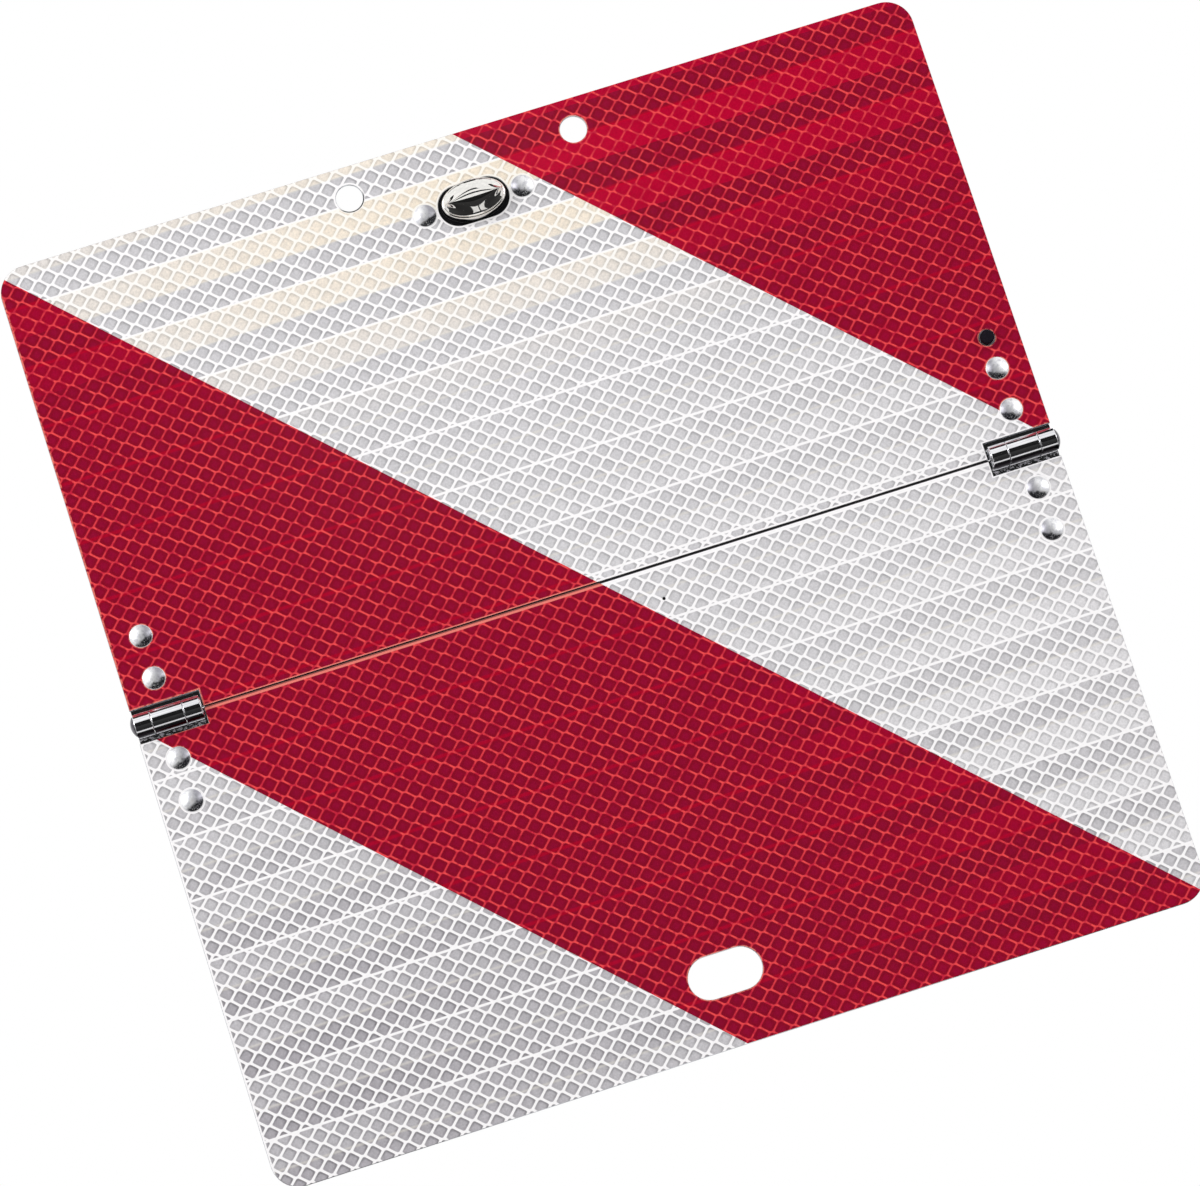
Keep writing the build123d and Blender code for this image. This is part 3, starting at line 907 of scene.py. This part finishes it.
# Rivets: domed heads on the sheeting, a shank, and a smaller dome behind
rivet = {"headRadius": 5.1, "rimHeight": 0.3, "shankRadius": 2.5, "tailRadius": 3.8, "tailHeight": 1.6}
sheetFront = -boxOf("upper_sheeting")[0][1]


def rivetShell(x, z, front, back):
    # The profile is a ball's cap on a short rim, the shank, and a smaller cap behind,
    # carried round the rivet's axis.
    radius, shank, tailBase = rivet["headRadius"], rivet["shankRadius"], back + rivet["tailHeight"]
    head = capArc(radius, front - sheetFront - rivet["rimHeight"]) + [0, sheetFront + rivet["rimHeight"]]
    tail = capArc(rivet["tailRadius"], rivet["tailHeight"])[::-1] * [1, -1] + [0, tailBase]
    rim = softCorners([
        (*head[-2], 0), (*head[-1], 0.14), (radius, sheetFront, 0.08),
        (shank, sheetFront, 0.05), (shank, tailBase, 0.05), (*tail[0], 0.1), (*tail[1], 0),
    ])
    return turnedShell(np.vstack([head[:-2], rim, tail[2:]]), (x, 0, z))


def makeRivets(node):
    low, high = boxOf(node)
    first, second = low + rivet["headRadius"], high - rivet["headRadius"]
    along = np.array([(first[0], first[2]), (second[0], second[2])])
    shells = [rivetShell(x, z, -low[1], -high[1]) for x, z in along]
    mesh = standFor(node, "rivet_metal", finish["rivetMetal"], *shells).data
    points = np.empty(len(mesh.vertices) * 3)
    mesh.vertices.foreach_get("co", points)
    x, y, z = points.reshape(-1, 3).T / mm
    away = np.stack([x, z], -1)[:, None] - along
    nearest = away[np.arange(len(x)), np.argmin((away**2).sum(-1), 1)] / rivet["headRadius"]
    onHead = np.column_stack([nearest[:, 0], -y > sheetFront, nearest[:, 1]])
    mesh.attributes.new("onHead", "FLOAT_VECTOR", "POINT").data.foreach_set("vector", onHead.ravel())


for end in ("left", "right"):
    for side in ("upper", "lower"):
        makeRivets(f"{end}_hinge_{side}_rivets")
makeRivets("latch_rivets")
print("rivets made")

# Hinges: leaves behind the panels with rolled knuckles in front of them, and a pin with a domed outer end
hinge = {
    "leafThickness": 1.5,
    "leafFarRound": 4.0,
    "leafRound": 0.1,  # the other corners
    "leafEdges": (0.15, 0.05),  # rounding behind and in front
    "flatStart": 4.31,  # where a leaf's flat begins, from the fold line
    "wings": [(0.0, 2.3, 0.0), (2.3, 2.85, 0.82)],  # from and to, past the leaf's inner side, and set back
    "wingStart": 0.15,
    "overlap": {"wing": 0.3, "knuckle": 0.2},  # into the flat
    "barrelStart": 3.0,  # from the leaf's inner side
    "barrelRadius": 5.28,
    "endRound": 0.28,
    "endInset": 0.5,  # how far the ends close in
    "sunk": 0.02,  # into the flat's two faces
    "seam": 0.25,  # over the flat
    "knuckles": {"upper": [(0, 7.65), (22.35, 30.0)], "lower": [(7.8, 22.2)]},  # along the barrel
    "pinRadius": 3.75,
    "collar": (4.35, 0.4),  # radius and thickness
    "head": (4.45, 1.9, 0.35),  # radius, height and rim
}


def knuckleShell(start, end, place):
    # Section of a rolled edge: two lines a leaf's thickness apart run from the flat under the barrel
    # and then round circles about the pin, until the cut end stands just over the flat. The section is
    # carried along the barrel, and near both ends the two lines close in on each other, which rounds
    # the edges. Faces from line to line close both ends.
    thickness, radius = hinge["leafThickness"], hinge["barrelRadius"]
    most, endRound = hinge["endInset"], hinge["endRound"]
    rows = softCorners([(start, most, 0), (start, 0, endRound), (end, 0, endRound), (end, most, 0)])
    along, inset = rows[:, :1], rows[:, 1:]
    uStart = np.full((len(rows), 1), hinge["flatStart"] + hinge["overlap"]["knuckle"])
    lines = []
    for reach, sign, flat in ((radius, -1, -thickness), (radius - thickness, 1, 0.0)):
        stop = 2 * np.pi - math.acos((foldDepth - hinge["seam"]) / reach)
        turn = np.linspace(0, stop, 90)
        bend = reach + sign * inset
        u = np.hstack([uStart, -bend * np.sin(turn)])
        v = np.hstack([flat - sign * (inset + hinge["sunk"]), foldDepth - bend * np.cos(turn)])
        lines.append(np.stack([np.broadcast_to(along, u.shape), u, v], -1))
    outer, inner = lines
    rings = np.concatenate([outer, inner[:, ::-1]], 1)
    points, (quads, *fans) = ringShell(place(rings))
    columns, half = rings.shape[1], outer.shape[1]
    step = np.arange(half - 1)
    across = columns - 1 - step
    cap = np.column_stack([step, step + 1, across - 1, across])
    return points[:-2], [quads, cap, cap + (len(rows) - 1) * columns]


def makeLeaf(end, side):
    node = f"{end}_hinge_{side}_leaf"
    low, high = boxOf(node)
    toOutside = 1 if end == "right" else -1
    toFlat = 1 if side == "upper" else -1
    inner = low[0] if end == "right" else high[0]
    length = (high[2] if side == "upper" else -low[2]) - toFlat * foldHeight
    flat, nearRound = hinge["flatStart"], hinge["leafRound"]
    backRound, frontRound = hinge["leafEdges"]

    def place(section):  # along the barrel, away from the fold line and forward, turned into the sign's frame
        along, u, v = np.moveaxis(section, -1, 0)
        return np.stack([inner + toOutside * (hinge["barrelStart"] + along), -v, foldHeight + toFlat * u], -1)

    def slab(near, far, fromSide, toSide, setBack, farRound):
        x = sorted(inner + toOutside * np.array([fromSide, toSide]))
        z = sorted(foldHeight + toFlat * np.array([near, far]))
        radii = [farRound, farRound, nearRound, nearRound][::toFlat]
        depths = [(-hinge["leafThickness"], backRound), (-setBack, frontRound)]
        return slabShell((x[0], z[0]), (x[1], z[1]), depths, radii)

    wingEnd = flat + hinge["overlap"]["wing"]
    shells = [slab(flat, length, 0, high[0] - low[0], 0.0, hinge["leafFarRound"])]
    shells += [slab(hinge["wingStart"], wingEnd, *wing, nearRound) for wing in hinge["wings"]]
    shells += [knuckleShell(*span, place) for span in hinge["knuckles"][side]]
    standFor(node, "hinge_steel", finish["hingeSteel"], *shells)


def makePin(end):
    # The profile is a flat collar, the rod and a ball's cap on a short rim, carried round the fold axis.
    node = f"{end}_hinge_pin"
    low, high = boxOf(node)
    toOutside = 1 if end == "right" else -1
    inside, outside = sorted([abs(low[0]), abs(high[0])])
    radius, (collarRadius, collarThickness) = hinge["pinRadius"], hinge["collar"]
    headRadius, headHeight, rim = hinge["head"]
    collarEnd, headBase = inside + collarThickness, outside - headHeight
    dome = capArc(headRadius, headHeight - rim)[::-1] + [0, headBase + rim]
    rod = softCorners([
        (0.05, inside, 0), (collarRadius, inside, 0.12), (collarRadius, collarEnd, 0.08),
        (radius, collarEnd, 0.05), (radius, headBase, 0.05),
        (headRadius, headBase, 0.1), (*dome[0], 0.12), (*dome[1], 0),
    ])
    profile = np.vstack([rod, dome[2:]]) * [1, toOutside]
    shell = turnedShell(profile, (0, -foldDepth, foldHeight), across=True)
    standFor(node, "hinge_steel", finish["pinSteel"], shell)


for end in ("left", "right"):
    makePin(end)
    for side in ("upper", "lower"):
        makeLeaf(end, side)
print("hinges made")

# Latch: a pressed plate with an oval neck, the turn button on it, and its stem and washers inside
latch = {
    # half straight run, radius across and up, depth and corner cut of each oval, from the hole out and back
    "plate": [
        (0.0, 3.05, 3.05, 7.9, 0.15),
        (0.0, 14.5, 8.75, 7.9, 1.1),
        (0.0, 14.5, 8.75, 0.0, 0.1),
        (18.0, 12.0, 12.0, 0.0, 0.08),
        (18.0, 12.0, 12.0, -1.2, 0.2),
        (0.0, 13.3, 7.55, -1.2, 0.3),
        (0.0, 13.3, 7.55, 6.7, 0.3),
        (0.0, 3.05, 3.05, 6.7, 0.1),
    ],
    "buttonUnderside": 8.1,
    # length, width, how pointed, and height of each outline, from the underside up
    "button": [
        (22.0, 11.0, 0, 0.00), (26.6, 15.4, 0, 0.00), (27.2, 16.0, 0, 0.06), (27.4, 16.2, 0, 0.24),
        (27.4, 16.2, 0, 0.50), (27.3, 16.0, 0, 0.72), (27.1, 15.6, 0.04, 0.94), (26.9, 15.1, 0.12, 1.16),
        (26.7, 14.5, 0.3, 1.37), (26.5, 13.8, 0.55, 1.59), (26.3, 12.8, 0.8, 1.86), (26.1, 11.6, 1, 2.15),
        (25.9, 10.2, 1, 2.47), (25.7, 8.8, 1, 2.77), (25.5, 7.4, 1, 3.05), (25.3, 6.2, 1, 3.27),
        (25.1, 5.0, 1, 3.46), (24.8, 3.8, 1, 3.61), (24.4, 2.6, 1, 3.71), (23.8, 1.4, 1, 3.77),
        (22.5, 0.5, 1, 3.80),
    ],
    # radius, depth and corner cut, from the button down to the peened end
    "stem": [
        (0.05, 10.5, 0), (2.25, 10.5, 0.2), (2.25, 8.1, 0.05), (3.0, 8.1, 0.1), (3.0, 5.5, 0.1),
        (2.25, 5.5, 0.05), (2.25, 4.5, 0.05), (3.6, 4.5, 0.1), (2.9, 3.7, 0.3), (1.6, 3.36, 0.3),
        (0.05, 3.3, 0),
    ],
    "retainingWasher": [(2.28, 5.5, 0.1), (6.0, 5.5, 0.15), (6.0, 4.5, 0.15), (2.28, 4.5, 0.1)],
    "springWasher": [(3.1, 6.2, 0.08), (6.0, 6.7, 0.08), (6.0, 6.1, 0.08), (3.1, 5.6, 0.08)],
}


def ovalRings(rows, around=144):
    # Every row is an ellipse in two halves joined by straight runs: the sign of the cosine moves
    # each half apart.
    angle = (np.arange(around) + 0.5) * 2 * np.pi / around
    straight, radiusAcross, radiusUp, depth = np.array(rows).T[:, :, None]
    x = straight * np.sign(np.cos(angle)) + radiusAcross * np.cos(angle)
    z = latchHeight + radiusUp * np.sin(angle)
    return np.stack([x, -depth + 0 * x, z], -1)


def buttonRings(rows, around=128):
    # Every row is an ellipse whose ends are drawn out to points: its width takes on a power of the sine.
    angle = (np.arange(around) + 0.5) * 2 * np.pi / around
    length, width, pointed, height = np.array(rows).T[:, :, None]
    x = length / 2 * np.cos(angle)
    z = latchHeight + width / 2 * np.sin(angle) * np.abs(np.sin(angle)) ** pointed
    return np.stack([x, -(latch["buttonUnderside"] + height) + 0 * x, z], -1)


def makeLatch():
    plate = ringShell(ovalRings(softCorners(latch["plate"], closed=True)), closedRows=True)
    standFor("latch_plate", "latch_metal", finish["neckChrome"], plate)
    button = ringShell(buttonRings(latch["button"]))
    button = standFor("latch_toggle", "latch_metal", finish["latchChrome"], button)
    smoother = button.modifiers.new("smoother", "SUBSURF")
    smoother.levels = smoother.render_levels = 1
    place = (0, 0, latchHeight)
    stem = turnedShell(softCorners(latch["stem"]), place)
    standFor("latch_spindle", "latch_metal", finish["plainSteel"], stem)
    for kind in ("retaining", "spring"):
        section = softCorners(latch[kind + "Washer"], closed=True, steps=3)
        washer = turnedShell(section, place, closedRows=True)
        standFor(f"latch_{kind}_washer", "latch_metal", finish["plainSteel"], washer)


makeLatch()
print("latch made")

# Rubber buffer: a round button in front and a flange behind the panel
buffer = {"radius": 3.1, "crown": 1.2, "stemRadius": 2.7, "flangeRadius": 5.0}


def makeBuffer():
    # The profile is a crowned button, the stem through the panel and the flange,
    # carried round the buffer's axis.
    low, high = boxOf("rubber_buffer")
    front, back = -low[1], -high[1]
    radius, stem, flange = buffer["radius"], buffer["stemRadius"], buffer["flangeRadius"]
    profile = softCorners([
        (0.05, front, 0), (radius, front, buffer["crown"]), (radius, sheetFront, 0.05),
        (stem, sheetFront, 0.05), (stem, 0.0, 0.05),
        (flange, 0.0, 0.1), (flange, back, 0.3), (0.05, back, 0),
    ])
    place = ((low[0] + high[0]) / 2, 0, (low[2] + high[2]) / 2)
    standFor("rubber_buffer", "buffer_rubber", finish["bufferRubber"], turnedShell(profile, place))


makeBuffer()
print("buffer made")

# A dark filler in the joint, on the upper panel's lower edge: painted shade that closes the gap between the
# halves, with lighter flecks
jointShadeFiller = {
    "reach": 179.6,
    "depth": (0.15, 1.35),
    "rise": (-0.13, 0.22),
    "colour": (42, 38, 40),
    "dustyAndReflective": (84, 76, 74),
    "specular": 0.0,
    "roughness": (0.85, 1.0),
}


def makeJointShadeFiller(settings):
    # An ellipse carried along the joint, and two sines make it fuller and leaner by turns.
    along = np.linspace(-settings["reach"], settings["reach"], 240)[:, None]
    angle = np.linspace(0, 2 * np.pi, 12, endpoint=False)
    lumps = 0.94 + 0.03 * np.sin(0.9 * along) + 0.03 * np.sin(0.37 * along + 1.0)
    (back, front), (low, high) = settings["depth"], settings["rise"]
    depth = (back + front) / 2 + (front - back) / 2 * lumps * np.cos(angle)
    rise = (low + high) / 2 + (high - low) / 2 * lumps * np.sin(angle)
    piece = meshPiece("joint_shade_filler", ringShell(np.stack([along + 0 * depth, -depth, foldHeight + rise], -1)))
    material, tree, shader = startMaterial("jointShadeFiller")
    dustAndReflection = fade(noise(millimetres(tree), 0.8, 4.0, 0.7), 0.5, 0.8)
    shine(shader, blend(dustAndReflection, settings["colour"], settings["dustyAndReflective"]), dustAndReflection, settings)
    bump(shader, dustAndReflection, 0.4)
    piece.data.materials.append(material)
    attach(piece, "upper_half")


makeJointShadeFiller(jointShadeFiller)
print("joint dirt made")
